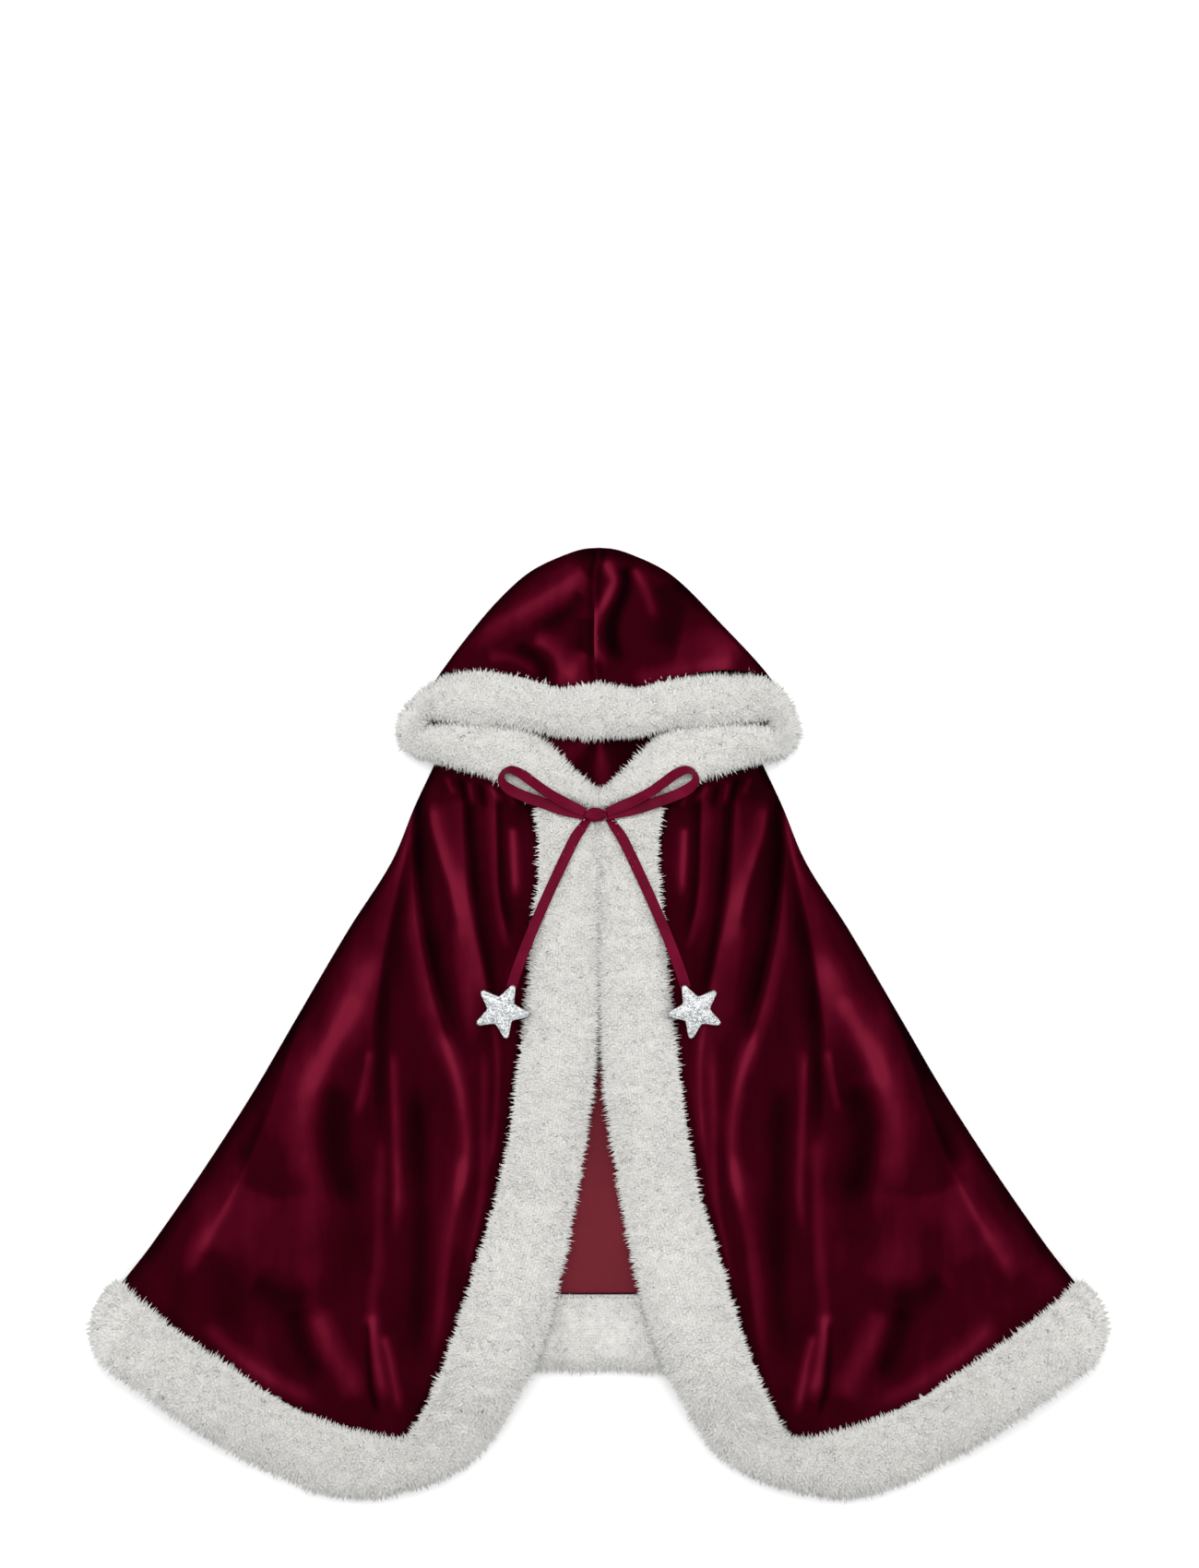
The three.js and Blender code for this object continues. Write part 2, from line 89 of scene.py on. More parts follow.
def add_lamp(name, place, size, power):
    data = bpy.data.lights.new(name, "AREA")
    data.shape = "DISK"
    data.size = size
    data.energy = power
    lamp = bpy.data.objects.new(name, data)
    lamp.location = place
    aim = Vector((0, 0, 0)) - Vector(place)
    lamp.rotation_euler = aim.to_track_quat("-Z", "Y").to_euler()
    bpy.context.scene.collection.objects.link(lamp)


add_lamp("top_lamp", (0.0, 0.9, 2.6), 1.6, 30)
add_lamp("left_lamp", (-2.2, 0.2, 1.3), 1.0, 15)
add_lamp("right_lamp", (2.2, 0.2, 1.3), 1.0, 15)


class Value:
    """A socket of a material, so that the maths of a pattern reads as arithmetic."""

    def __init__(self, dye, socket):
        self.dye = dye
        self.socket = socket

    def maths(self, operation, first, second):
        return self.dye.node("ShaderNodeMath", {"operation": operation}, {0: first, 1: second})

    def __add__(self, other):
        return self.maths("ADD", self, other)

    def __sub__(self, other):
        return self.maths("SUBTRACT", self, other)

    def __rsub__(self, other):
        return self.maths("SUBTRACT", other, self)

    def __mul__(self, other):
        return self.maths("MULTIPLY", self, other)

    __radd__ = __add__
    __rmul__ = __mul__


class Dye:
    """A material in the making: its nodes and its shader."""

    def __init__(self, name, **settings):
        self.material = bpy.data.materials.new(name)
        self.material.use_nodes = True
        self.tree = self.material.node_tree
        self.shader = self.tree.nodes["Principled BSDF"]
        for key, value in settings.items():
            self.shader.inputs[key.replace("_", " ")].default_value = value

    def node(self, kind, settings=None, inputs=None, output=0):
        made = self.tree.nodes.new(kind)
        for key, value in (settings or {}).items():
            if key == "stops":
                ramp = made.color_ramp
                for _ in value[2:]:
                    ramp.elements.new(0.5)
                for stop, (place, colour) in zip(ramp.elements, value):
                    stop.position = place
                    stop.color = colour
            else:
                setattr(made, key, value)
        for key, value in (inputs or {}).items():
            if isinstance(value, Value):
                self.tree.links.new(value.socket, made.inputs[key])
            else:
                made.inputs[key].default_value = value
        return Value(self, made.outputs[output])

    def place(self):
        return self.node("ShaderNodeTexCoord", output=3)

    def grain(self, scale, detail=2.0, stretch=(1, 1, 1)):
        spread = self.node("ShaderNodeMapping", inputs={"Vector": self.place(), "Scale": stretch})
        return self.node("ShaderNodeTexNoise", inputs={"Vector": spread, "Scale": scale, "Detail": detail})

    def own(self, attribute):
        return self.node("ShaderNodeAttribute", {"attribute_name": attribute}, output=2)

    def mix(self, share, first, second):
        return self.node(
            "ShaderNodeMix", {"data_type": "RGBA", "clamp_factor": True},
            {0: share, 6: first, 7: second}, output=2)

    def ramp(self, share, stops):
        return self.node("ShaderNodeValToRGB", {"stops": stops}, {"Fac": share})

    def feed(self, socket, value):
        self.tree.links.new(value.socket, self.shader.inputs[socket])

    def bump(self, height, strength, distance):
        self.feed("Normal", self.node(
            "ShaderNodeBump", inputs={"Height": height, "Strength": strength, "Distance": distance}))


def bent_grid(nu, nv, place):
    """A grid whose points go where place(u, v) says, in metres, with u and v from 0 to 1."""
    bm = bmesh.new()
    bmesh.ops.create_grid(bm, x_segments=nu, y_segments=nv, size=0.5)
    flat = np.array([v.co[:2] for v in bm.verts]) + 0.5
    for vert, co in zip(bm.verts, place(flat[:, 0], flat[:, 1])):
        vert.co = co
    return bm, flat[:, 0], flat[:, 1]


def finish_piece(bm, name, dye, smooth_faces=True):
    """Turns a bmesh into a piece at the origin, with its material."""
    mesh = bpy.data.meshes.new(name)
    bm.to_mesh(mesh)
    bm.free()
    mesh.materials.append(dye.material)
    mesh.polygons.foreach_set("use_smooth", [smooth_faces] * len(mesh.polygons))
    piece = bpy.data.objects.new(name, mesh)
    bpy.context.scene.collection.objects.link(piece)
    return piece


floor_dye = Dye("pale_floor", Roughness=0.9, Base_Color=(0.97, 0.97, 0.97, 1))
floor_bm, _, _ = bent_grid(1, 1, lambda u, v: np.stack(
    [FLOOR_HALF * (2 * u - 1), FLOOR_HALF * (2 * v - 1), 0 * u + FLOOR_LEVEL], 1))
floor = finish_piece(floor_bm, "floor", floor_dye)

# ---------- Ribbon ends ----------
# Each end is a flat strip of wine-red satin ribbon, 9 mm wide, that runs from the knot over the collar's fur
# and down the front to its star. It leans on its edge at the knot and lies flat further down.
RIBBON_WIDTH = 9 * MM
RIBBON_THICK = 0.7 * MM
END_ROUTE = [
    (-9, 177.3, 23.0), (-14, 170, 25.2), (-20, 161, 25.9), (-28, 145, 25.9), (-36, 128, 25.9),
    (-47, 104, 26.2), (-59, 76, 26.2), (-67.5, 54, 25.6), (-72.5, 40, 24.5), (-75.5, 30, 23.3),
]
END_STEPS = 90
END_LEAN = 0.8
SATIN_DEEP = (0.068, 0.0008, 0.009, 1)
SATIN_LIGHT = (0.16, 0.003, 0.026, 1)
SIDES = (("left", 1), ("right", -1))


def spline(points, at):
    """Places on the smooth line through the given points, whose stretches have equal shares of it."""
    points = np.asarray(points, float)
    padded = np.vstack([2 * points[0] - points[1], points, 2 * points[-1] - points[-2]])
    place = np.clip(np.asarray(at, float), 0, 1) * (len(points) - 1)
    index = np.minimum(place.astype(int), len(points) - 2)
    t = (place - index)[..., None]
    a, b, c, d = (padded[index + k] for k in range(4))
    one, two, three = (
        np.linalg.norm(q - p, axis=-1, keepdims=True) ** 0.5 + 1e-9 for p, q in ((a, b), (b, c), (c, d)))
    start = ((b - a) / one - (c - a) / (one + two) + (c - b) / two) * two
    end = ((c - b) / two - (d - b) / (two + three) + (d - c) / three) * two
    return b + start * t + (3 * (c - b) - 2 * start - end) * t**2 + (2 * (b - c) + start + end) * t**3


def smooth(t):
    s = np.clip(t, 0, 1)
    return s * s * (3 - 2 * s)


def mirrored(points):
    return [(-p[0], *p[1:]) for p in points]


def thicken(bm, thickness, inside):
    """Gives an open sheet its thickness, on the side of it where the point inside is."""
    bmesh.ops.recalc_face_normals(bm, faces=bm.faces)
    inside = Vector(inside)
    facing = sum(f.normal.dot(f.calc_center_median() - inside) * f.calc_area() for f in bm.faces)
    if facing < 0:
        bmesh.ops.reverse_faces(bm, faces=bm.faces)
    bmesh.ops.solidify(bm, geom=bm.faces[:], thickness=thickness)


def strip(name, path, width, lean, inside=(0, 0, -1)):
    """A flat ribbon along path, level where lean is 0 and on edge where it is a quarter turn."""
    way = np.gradient(path, axis=0)
    way /= np.linalg.norm(way, axis=1)[:, None]
    level = np.stack([-way[:, 1], way[:, 0], 0 * way[:, 0]], 1)
    level /= np.linalg.norm(level, axis=1)[:, None] + 1e-9
    up = np.cross(way, level)
    across = level * np.cos(lean)[:, None] + up * np.sin(lean)[:, None]
    steps = len(path) - 1

    def place(u, v):
        at = np.clip((v * steps).round().astype(int), 0, steps)
        spot = path[at] + across[at] * ((u - 0.5) * width[at])[:, None]
        spot[:, 2] += 0.25 * MM * np.abs(2 * u - 1) ** 4
        return spot

    bm, _, _ = bent_grid(8, steps, place)
    thicken(bm, RIBBON_THICK, inside)
    return finish_piece(bm, name, satin_dye)


def satin():
    dye = Dye("satin_ribbon", Roughness=0.4, Specular_IOR_Level=0.03)
    weave = dye.grain(2600, 3, (1, 0.2, 1))
    drift = dye.grain(60, 2)
    dye.feed("Base Color", dye.mix(drift * 1.1 + weave * 0.3 - 0.3, SATIN_DEEP, SATIN_LIGHT))
    dye.feed("Roughness", weave * 0.25 + 0.28)
    dye.bump(weave, 0.35, 0.0002)
    return dye


satin_dye = satin()
along_end = np.linspace(0, 1, END_STEPS + 1)
ribbon_ends = {}
for side, hand in SIDES:
    end_path = spline(END_ROUTE, along_end) * MM * (hand, 1, 1)
    end_lean = hand * END_LEAN * (1 - smooth(along_end / 0.3))
    piece = strip(side + "_ribbon_end", end_path, np.full(END_STEPS + 1, RIBBON_WIDTH), end_lean)
    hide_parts(side + "_tie", side + "_tail")
    ribbon_ends[side] = (piece, end_path)

# ---------- Stars ----------
# A padded star closes each ribbon end: two star-shaped faces of silver glitter cloth with wadding between
# them, stitched together along a narrow border. The levels are heights in mm over the floor.
STAR_RADIUS = 29 * MM
STAR_NOTCH = 12.2 * MM
TIP_ROUND = 2.6 * MM
STAR_TURN = math.radians(-26)
STAR_MIDDLE = (-84, 10.5)
STAR_POINTS = 5
BORDER = 0.86
FACE_LEVEL = 27.9
WADDING_LEVEL = 26.1
REAR_LEVEL = 23.7


def glitter():
    dye = Dye("silver_glitter", Metallic=0.35, Specular_IOR_Level=0.6, Roughness=0.35)
    flake = dye.node("ShaderNodeTexVoronoi", inputs={"Vector": dye.place(), "Scale": 1100.0}, output=1)
    parts = dye.node("ShaderNodeSeparateColor", inputs={"Color": flake})
    fine = dye.grain(2400, 2)
    shade = dye.ramp(parts * 0.8 + fine * 0.4 - 0.1, [
        (0.0, (0.13, 0.13, 0.14, 1)), (0.35, (0.34, 0.35, 0.36, 1)), (0.65, (0.6, 0.62, 0.63, 1)),
        (1.0, (1, 1, 1, 1))])
    dye.feed("Base Color", shade)
    dye.feed("Roughness", parts * 0.4 + 0.2)
    dye.bump(parts, 0.6, 0.0005)
    return dye


glitter_dye = glitter()
wadding_dye = Dye("white_wadding", Roughness=1.0)
wadding_grain = wadding_dye.grain(1800, 4)
wadding_dye.feed("Base Color", wadding_dye.mix(wadding_grain, (0.5, 0.5, 0.51, 1), (0.8, 0.8, 0.8, 1)))
wadding_dye.bump(wadding_grain, 0.5, 0.0004)


def star_reach(turn):
    """How far the star's edge is from its middle; straight sides run into a round tip."""
    share = 2 * math.pi / STAR_POINTS
    off = np.abs((turn + share / 2) % share - share / 2)
    half = share / 2
    edge = STAR_RADIUS * STAR_NOTCH * math.sin(half)
    edge = edge / (STAR_RADIUS * np.sin(off) + STAR_NOTCH * np.sin(half - off))
    slope = math.atan2(STAR_NOTCH * math.sin(half), STAR_RADIUS - STAR_NOTCH * math.cos(half))
    centre = STAR_RADIUS - TIP_ROUND / math.sin(slope)
    tangent = math.atan2(TIP_ROUND * math.cos(slope), centre + TIP_ROUND * math.sin(slope))
    tip = centre * np.cos(off) + np.sqrt(np.maximum(TIP_ROUND**2 - (centre * np.sin(off)) ** 2, 0))
    return np.where(off < tangent, tip, edge) + 0.5 * MM * np.exp(-(((half - off) / 0.12) ** 2))


def star_shell(name, hand, shrink, bottom, top, dye):
    """A closed star between the height bottom(share) and top(share), with share from 0 in the middle to 1."""
    def place(u, v):
        turn = 2 * np.pi * u
        up = v < 0.5
        share = np.where(up, 2 * v, 2 - 2 * v)
        reach = (star_reach(turn) - shrink) * share
        way = turn + math.pi / 2 + STAR_TURN
        x = STAR_MIDDLE[0] * MM + np.cos(way) * reach
        y = STAR_MIDDLE[1] * MM + np.sin(way) * reach
        z = np.where(up, top(share), bottom(share)) * MM
        return np.stack([hand * x, y, z], 1)

    bm, _, _ = bent_grid(200, 32, place)
    bmesh.ops.remove_doubles(bm, verts=bm.verts, dist=1e-6)
    bmesh.ops.recalc_face_normals(bm, faces=bm.faces)
    return finish_piece(bm, name, dye)


def puffed(share):
    border = smooth((share - BORDER) / 0.04)
    pad = 0.4 + 2.2 * np.sqrt(np.clip(1 - (share / BORDER) ** 2, 0, 1))
    stitching = 0.3 * np.exp(-(((share - BORDER - 0.02) / 0.015) ** 2))
    return FACE_LEVEL + pad * (1 - border) + 0.6 * border - stitching


def rounded(level, depth):
    return lambda share: level + depth * np.sqrt(np.clip(1 - share**8, 0, 1))


for side, hand in SIDES:
    face = star_shell(side + "_star_face", hand, 0, rounded(FACE_LEVEL, 0), puffed, glitter_dye)
    pad = star_shell(
        side + "_star_wadding", hand, 1.3 * MM, rounded(WADDING_LEVEL, -1.5), rounded(WADDING_LEVEL, 1.6),
        wadding_dye)
    rear = star_shell(
        side + "_star_rear", hand, 0, rounded(REAR_LEVEL, 0), rounded(REAR_LEVEL + 0.2, 0.5), glitter_dye)
    for part, node, slot in (
        (face, "_star_front", "silver_glitter"), (pad, "_star_padding", "wadding"),
        (rear, "_star_back", "silver_glitter"),
    ):
        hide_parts(side + node)
        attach(part, side + "_star")


def ride_front(piece, side):
    """Bakes the piece's placing into its mesh."""
    side + "_front"
    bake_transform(piece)


for side, hand in SIDES:
    piece, end_path = ribbon_ends[side]
    ride_front(piece, side)

# ---------- Velvet back ----------
# The back of the cape is one panel of burgundy velvet, pile side down, that lies flat on the floor from the
# neck seam down to the hem's fur.
VELVET = 1.2
SIDE_OUTLINE = [
    (-143, 224), (-160, 188), (-180, 140), (-218, 80), (-265, 0), (-300, -60), (-345, -130), (-390, -195),
    (-411, -224),
]
NECKLINE = [(-143, 224), (-75, 206), (0, 196), (75, 206), (143, 224)]
BACK_FOOT = [
    (-411, -224), (-380, -232.4), (-200, -236.4), (0, -238.4), (200, -236.4), (380, -232.4), (411, -224)]
FLOOR_GAP = 0.1


def patch(left, right, near, far):
    """The flat patch between four edges: left and right run with v, near and far with u."""
    def place(u, v):
        u, v = np.asarray(u, float), np.asarray(v, float)
        p, q, r, s = (edge(np.zeros(1) + t)[0] for edge, t in ((left, 0), (right, 0), (left, 1), (right, 1)))
        across, along = u[..., None], v[..., None]
        spot = left(v) * (1 - across) + right(v) * across + near(u) * (1 - along) + far(u) * along
        return spot - (p * (1 - across) + q * across) * (1 - along) - (r * (1 - across) + s * across) * along
    return place


def line(points):
    return lambda t: spline(points, t)


def between(left, right):
    def place(u, v):
        across = np.asarray(u, float)[..., None]
        return left(v) * (1 - across) + right(v) * across
    return place


def shrunk(place, u0, u1, v0, v1):
    return lambda u, v: place(u0 + (u1 - u0) * u, v0 + (v1 - v0) * v)


def cloth(name, plan, level, nu, nv, thickness, dye, hand=1, pile=None, inside=(0, 0, -1)):
    """A sheet of cloth over a flat plan in mm, with its upper face at level(u, v, x, y) and, where given, a
    painted highlight and painted shade stored on its points.
    """
    def place(u, v):
        spot = plan(u, v)
        z = level(u, v, spot[:, 0], spot[:, 1])
        return np.stack([hand * spot[:, 0], spot[:, 1], z], 1) * MM

    bm, u, v = bent_grid(nu, nv, place)
    if pile:
        layer = bm.verts.layers.float.new("pile")
        spot = plan(u, v)
        for vert, value in zip(bm.verts, pile(u, v, spot[:, 0], spot[:, 1])):
            vert[layer] = value
    thicken(bm, thickness * MM, inside)
    return finish_piece(bm, name, dye)


def velvet():
    dye = Dye("burgundy_velvet", Roughness=0.5, Sheen_Weight=0.03, Sheen_Roughness=0.35,
              Sheen_Tint=(0.6, 0.01, 0.06, 1), Specular_IOR_Level=0.0)
    # The attribute read here is painted light: painted highlight on the fold crests and painted shade in the
    # dips and along the edges. Random tone noise is added to it, and the ramp turns the sum into the velvet's
    # colour.
    pile = dye.own("pile")
    nap = dye.grain(1400, 3)
    drift = dye.grain(17, 3)
    streak = dye.grain(34, 3, (1, 0.2, 1))
    painted_sheen_and_shade = pile + drift * 0.4 - 0.2 + streak * 0.5 - 0.25 + nap * 0.08 - 0.04
    dye.feed("Base Color", dye.ramp(painted_sheen_and_shade, [
        (0.0, (0.0045, 0.0003, 0.0012, 1)), (0.25, (0.0135, 0.0004, 0.002, 1)),
        (0.5, (0.03, 0.0005, 0.0038, 1)), (0.75, (0.068, 0.002, 0.0095, 1)), (1.0, (0.14, 0.007, 0.022, 1))]))
    dye.feed("Roughness", 0.62 - pile * 0.2)
    dye.bump(nap, 0.25, 0.0003)
    return dye


velvet_dye = velvet()
back_plan = patch(line(SIDE_OUTLINE), line(mirrored(SIDE_OUTLINE)), line(NECKLINE), line(BACK_FOOT))


def back_painted_light(u, v, x, y):
    # An even mid level of the velvet's painted light, with no painted highlight or shade.
    return 0.3 + 0 * u


back_velvet = cloth(
    "back_velvet_panel", back_plan, lambda u, v, x, y: FLOOR_GAP + 0 * u, 60, 50, VELVET, velvet_dye,
    pile=back_painted_light, inside=(0, 0, 1))
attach(back_velvet, "back")
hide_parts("back_velvet")

# ---------- Back lining ----------
# The back is lined with a matt dusty-red woven cloth, seen between the fronts where they part. It lies almost
# flat, with a few low ripples.
LINING = 0.8


def lining(name, deep, light):
    dye = Dye(name, Roughness=0.8, Sheen_Weight=0.05, Specular_IOR_Level=0.1)
    warp = dye.grain(1500, 2, (1, 0.08, 1))
    weft = dye.grain(1500, 2, (0.08, 1, 1))
    drift = dye.grain(22, 3)
    dye.feed("Base Color", dye.mix(warp * 0.3 + weft * 0.3 + drift * 0.5 - 0.1, deep, light))
    dye.feed("Roughness", warp * 0.2 + 0.7)
    dye.bump(warp + weft, 0.3, 0.0003)
    return dye


lining_dye = lining("dusty_red_lining", (0.12, 0.011, 0.019, 1), (0.185, 0.02, 0.031, 1))


def ripple(x, y):
    return 0.35 * np.sin(x / 31 + 0.6 * np.sin(y / 57)) * np.sin(y / 83 + 1.2)


back_lining = cloth(
    "back_lining_panel", shrunk(back_plan, 0.04, 0.96, 0.03, 0.995),
    lambda u, v, x, y: 2.7 + ripple(x, y), 110, 90, LINING, lining_dye)
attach(back_lining, "back")
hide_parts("back_lining")

# ---------- Velvet fronts ----------
# Each front is one panel of velvet, gathered into the neck seam and rolled round the cape's side. Soft folds
# run down it from the gathers; painted highlight makes their crests lighter and painted shade makes their
# dips nearly black.
FUR_WIDTH = 66
EDGE = [
    (-1.2, 178, 168, 0.91), (-1.2, 150, 180, 0.76), (-1.2, 90, 180, 0.82), (-1.2, 40, 180, 0.89),
    (-2, -20, 173, 0.98), (-7, -70, 180, 1.0), (-20, -150, 175, 1.0), (-34, -222, 166, 1.09),
    (-50, -280, 164, 1.1), (-72, -325, 167, 1.03), (-98, -368, 160, 0.93), (-135, -395, 134, 0.7),
    (-190, -412, 90, 0.77), (-235, -410, 80, 0.88), (-290, -388, 70, 0.9), (-345, -355, 65, 0.92),
    (-398, -318, 63, 0.92), (-430, -293, 60.5, 0.92), (-440, -268, 58, 0.74), (-434, -246, 48, 0.4),
]
CORNER = 11  # the point of the edge where the front turns into the hem
cloth_edge = []
for x, y, turn, share in EDGE:
    reach = FUR_WIDTH * share + 0.5
    cloth_edge.append((x + math.cos(math.radians(turn)) * reach, y + math.sin(math.radians(turn)) * reach))
cloth_hem = cloth_edge[CORNER:CORNER + 8][::-1]
front_plan = patch(
    line([*SIDE_OUTLINE[:-1], cloth_hem[0]]),
    line(cloth_edge[:CORNER + 1]),
    line([(-143, 224), (-118, 216), (-90, 207), cloth_edge[0]]),
    line(cloth_hem),
)

# painted light (painted highlight on a crest where positive, painted shade in a dip where negative), lift in
# mm, spread to the outside and to the inside in mm, and the line of the fold from its top
FRONT_FOLDS = [
    # the broad fold down the side, and the dip inside it
    (0.36, 4.5, 16, 14, [
        (-188, 70), (-204, 36), (-222, 2), (-240, -32), (-256, -78), (-257, -110), (-250, -136),
        (-215, -190)]),
    (0.24, 1.0, 8, 8, [(-208, 26), (-224, -5), (-238, -30), (-252, -70)]),
    (-0.30, -2.0, 14, 14, [(-224, -50), (-230, -95), (-226, -130), (-212, -165)]),
    # the crease where the front laps over the side
    (0.22, 2.5, 14, 2.5, [
        (-160, 196), (-165, 165), (-176, 117), (-186, 72), (-191.4, 38), (-198, -10), (-200, -45)]),
    (-0.28, -1.5, 3, 10, [(-158, 185), (-170, 117), (-184, 50), (-190, 0), (-192, -60), (-190, -120)]),
    (0.34, 2.0, 3, 6, [(-199, -22), (-202, -41), (-206, -62), (-214, -86)]),
    # the long fold from the shoulder to the hem
    (0.36, 4.0, 10, 2.5, [
        (-160, 212), (-164, 180), (-163, 139), (-158, 82), (-145, 20), (-128, -32), (-116, -72)]),
    (-0.34, -2.0, 2.5, 10, [(-156, 205), (-157, 150), (-151, 90), (-139, 30), (-122, -20)]),
    (0.42, 3.0, 7, 6, [(-136, -2), (-124, -40), (-117, -80), (-115, -105), (-118, -135), (-126, -172)]),
    (0.24, 2.0, 8, 4, [(-116, -110), (-119, -140), (-127, -175), (-133, -215), (-138, -260), (-150, -320)]),
    # the bright fold under the shoulder, and those beside the fur
    (0.50, 4.0, 4, 10, [(-146, 196), (-142, 168), (-134, 140), (-127, 118), (-122, 96), (-118, 62)]),
    (0.22, 2.0, 8, 10, [(-122, 90), (-118, 50), (-114, 20), (-110, -25)]),
    (0.26, 3.0, 9, 2.5, [(-120, 208), (-119, 170), (-114, 104), (-105, 60), (-98, 25), (-92, -25)]),
    (-0.32, -1.5, 2.5, 7, [(-115, 202), (-112, 160), (-106, 100), (-97, 50), (-88, 5)]),
    (0.26, 2.0, 6, 2.5, [(-91, 210), (-90, 161), (-88, 110), (-82, 80), (-73, 54)]),
    (-0.26, -1.0, 2, 5, [(-87, 204), (-86, 150), (-83, 105), (-75, 72)]),
    (0.48, 2.0, 4, 4.5, [(-75, 172), (-74, 150), (-73, 130), (-72, 103)]),
    (0.26, 2.0, 4, 5, [(-99, -15), (-100, -80), (-101, -140), (-108, -190), (-118, -245)]),
    (0.24, 2.0, 3, 4, [(-92, 12), (-88, -40), (-90, -90), (-97, -140)]),
    # the upright folds of the middle, down to the corner
    (0.36, 3.0, 4, 5, [(-180, -18), (-178, -60), (-176, -110), (-175, -150), (-179, -200)]),
    (0.22, 2.5, 6, 6, [(-188, -90), (-190, -140), (-192, -200), (-196, -250), (-200, -300)]),
    (0.40, 3.0, 7, 6, [(-197, -248), (-194, -280), (-190, -305), (-183, -334)]),
    (-0.36, -2.0, 3, 3, [(-201, -255), (-200, -290), (-197, -320), (-190, -348)]),
    (0.40, 3.0, 4, 5, [(-187, -268), (-181, -292), (-176, -318), (-172, -346)]),
    (-0.28, -1.5, 9, 9, [(-160, -50), (-156, -120), (-154, -180), (-156, -240), (-160, -310)]),
    # the folds of the lower side
    (0.36, 3.5, 13, 6, [(-308, -112), (-320, -150), (-334, -178), (-350, -205), (-362, -228)]),
    (0.20, 3.0, 24, 18, [(-298, -140), (-312, -180), (-328, -212)]),
    (-0.26, -1.5, 12, 2.5, [(-250, 24), (-266, -10), (-283, -60), (-302, -110), (-325, -155), (-352, -198)]),
    (0.34, 3.5, 9, 9, [(-345, -256), (-318, -285), (-290, -305), (-262, -322), (-236, -335)]),
    (0.34, 3.0, 12, 12, [(-247, -245), (-231, -285), (-217, -310), (-211, -334)]),
    (-0.30, -2.0, 10, 10, [(-264, -246), (-256, -280), (-240, -314)]),
    (0.16, 2.0, 30, 25, [(-262, -145), (-258, -190), (-243, -238)]),
    (-0.24, -1.0, 14, 12, [(-300, -222), (-276, -236), (-250, -240)]),
]
# the small puckers of the gathers, just under the neck seam, with painted highlight on their crests and
# painted shade in their dips
GATHERS = [
    (0.34, 2.0, 3, 3, [(-133, 216), (-129, 205), (-124, 196)]),
    (0.30, 2.0, 3, 3, [(-113, 212), (-111, 200), (-109, 186)]),
    (0.36, 2.0, 4, 3, [(-97, 208), (-90, 199), (-82, 190)]),
    (0.30, 1.6, 3, 3, [(-84, 203), (-76, 196), (-71, 184)]),
    (-0.3, -1.2, 3, 3, [(-122, 214), (-118, 203), (-117, 188)]),
    (-0.3, -1.2, 3, 3, [(-104, 210), (-101, 196), (-99, 184)]),
]


def fold_field(x, y, folds, head=0.12, tail=0.25):
    """The height, and the painted highlight on crests and painted shade in dips, that folds give to places x,
    y; each fades out at the ends of its line.
    """
    height, painted_sheen_and_shade = np.zeros_like(x), np.zeros_like(x)
    spot = np.stack([x, y], -1)
    for pile, lift, outside, inside, points in folds:
        way = spline(points, np.linspace(0, 1, 41))
        start, step = way[:-1], np.diff(way, axis=0)
        off = spot[:, None] - start[None]
        t = np.clip((off * step).sum(-1) / (step**2).sum(-1), 0, 1)
        gap = off - t[..., None] * step
        far = np.hypot(gap[..., 0], gap[..., 1])
        near = far.argmin(1)
        row = np.arange(len(x))
        side = step[near, 0] * gap[row, near, 1] - step[near, 1] * gap[row, near, 0]
        spread = np.where(side < 0, outside, inside)
        along = (near + t[row, near]) / 40
        profile = np.exp(-((far[row, near] / spread) ** 2))
        profile = profile * smooth(along / head) * smooth((1 - along) / tail)
        height += lift * profile
        painted_sheen_and_shade += pile * profile
    return height, painted_sheen_and_shade


def front_level(u, y):
    """How high a front's underside is: low at the side, up over the back hem, down again at the foot."""
    over_hem = smooth((-200 - y) / 30)
    at_corner = smooth((-312 - y) / 45)
    full = 13.4 + 5 * over_hem - 11 * at_corner
    start = 1.5 + 14 * smooth((-198 - y) / 26)
    return start + (full - start) * smooth(u / 0.12)


def front_height(u, v, x, y):
    lift, _ = fold_field(x, y, FRONT_FOLDS)
    pucker, _ = fold_field(x, y, GATHERS, 0.3, 0.3)
    room = smooth(u / 0.1) * smooth((1 - u) / 0.05)
    return front_level(u, y) + VELVET + (lift + pucker) * room


def front_painted_light(u, v, x, y):
    # Painted highlight and painted shade from the folds and the gathers' puckers, less a painted shade along
    # the side where the cloth turns away, beside the fur and under the neck.
    _, painted_sheen_and_shade = fold_field(x, y, FRONT_FOLDS)
    _, pucker = fold_field(x, y, GATHERS, 0.3, 0.3)
    painted_edge_shade = 0.30 * (1 - smooth(u / 0.10)) + 0.24 * (1 - smooth((1 - u) / 0.07)) + 0.14 * (1 - smooth(v / 0.10))
    return 0.44 + painted_sheen_and_shade + pucker - painted_edge_shade


for side, hand in SIDES:
    piece = cloth(
        side + "_front_panel", front_plan, front_height, 130, 230, VELVET, velvet_dye, hand, front_painted_light)
    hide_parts(side + "_yoke_velvet", side + "_front_velvet")
    ride_front(piece, side)

